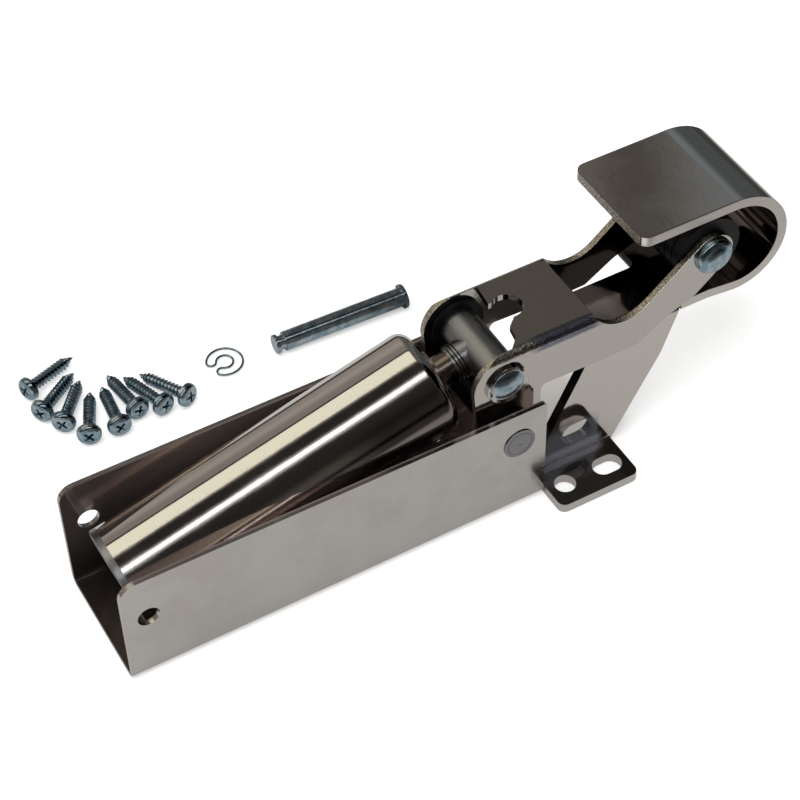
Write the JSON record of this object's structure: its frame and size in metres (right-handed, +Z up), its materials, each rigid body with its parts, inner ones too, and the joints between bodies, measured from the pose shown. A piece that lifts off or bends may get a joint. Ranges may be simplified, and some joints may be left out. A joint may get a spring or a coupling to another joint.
{
  "type": "door damper",
  "caption": "Hydraulic door damper: channel chassis, inclined damper, forked lever with a black roller, a catch hook on a bent foot, and its loose fixings.",
  "frame": {"origin": "centre of the chassis's four floor holes, in the plane of its underside", "axes": "+X along the chassis towards the roller, +Z up off the mounting face, +Y across the chassis, away from the hook's foot"},
  "size_m": [0.2655, 0.1584, 0.0973],
  "materials": {
    "plated_steel": "bright nickel plating on bent steel sheet",
    "zinc_plated": "bluish zinc plating",
    "black_plastic": "black engineering plastic",
    "roller_black": "black plastic, turned with fine rings",
    "tube_finish": "bright nickel plating on a drawn tube",
    "bronze_dark": "dark oiled steel with a brown tint",
    "seal_rubber": "black rubber",
    "screw_zinc": "blue zinc plating"
  },
  "bodies": {
    "chassis": {"chassis": "plated_steel", "pivot_rivet": "plated_steel", "pivot_spacers": "black_plastic", "clevis_pin": "screw_zinc", "pin_clip": "screw_zinc", "fixing_screws": "screw_zinc"},
    "lever": {"lever": "plated_steel", "pivot_tube": "black_plastic", "rod_pin": "zinc_plated", "dished_washers": "plated_steel", "roller_axle": "zinc_plated"},
    "roller": {"roller": "roller_black", "roller_bush": "zinc_plated"},
    "rod": {"rod_eye": "zinc_plated", "eye_washers": "black_plastic", "piston_rod": "bronze_dark", "piston": "zinc_plated", "piston_seal": "seal_rubber"},
    "damper": {"damper_tube": "tube_finish", "gland_collar": "bronze_dark", "rod_seal": "seal_rubber", "rear_cap": "zinc_plated"},
    "hook": {"hook": "plated_steel"}
  },
  "joints": [
    {"name": "lever_swing", "type": "hinge", "parent": "chassis", "child": "lever", "pos_m": [0.07, 0, 0.0337], "axis": [0, 1, 0], "range_deg": [0, 55], "stiffness_Nm_per_rad": 2, "springref_deg": -34.38},
    {"name": "eye_swing", "type": "hinge", "parent": "lever", "child": "rod", "pos_m": [0.0677, 0, 0.0602], "axis": [0, 1, 0], "range_deg": [-50, 0]},
    {"name": "damper_stroke", "type": "slide", "parent": "rod", "child": "damper", "axis": [-0.963, 0, -0.2695], "range_m": [0, 0.02]},
    {"name": "roller_spin", "type": "hinge", "parent": "lever", "child": "roller", "pos_m": [0.1504, 0, 0.0801], "axis": [0, 1, 0], "continuous": true},
    {"name": "hook_travel", "type": "slide", "parent": "chassis", "child": "hook", "axis": [0.2291, 0, -0.9734], "range_m": [0, 0.085]}
  ],
  "couplings": [
    {"joint": "eye_swing", "follows": "lever_swing", "ratio": -0.9},
    {"joint": "damper_stroke", "follows": "lever_swing", "m_per_rad": 0.0205},
    {"joint": "hook_travel", "follows": "lever_swing", "m_per_rad": 0.0873}
  ]
}
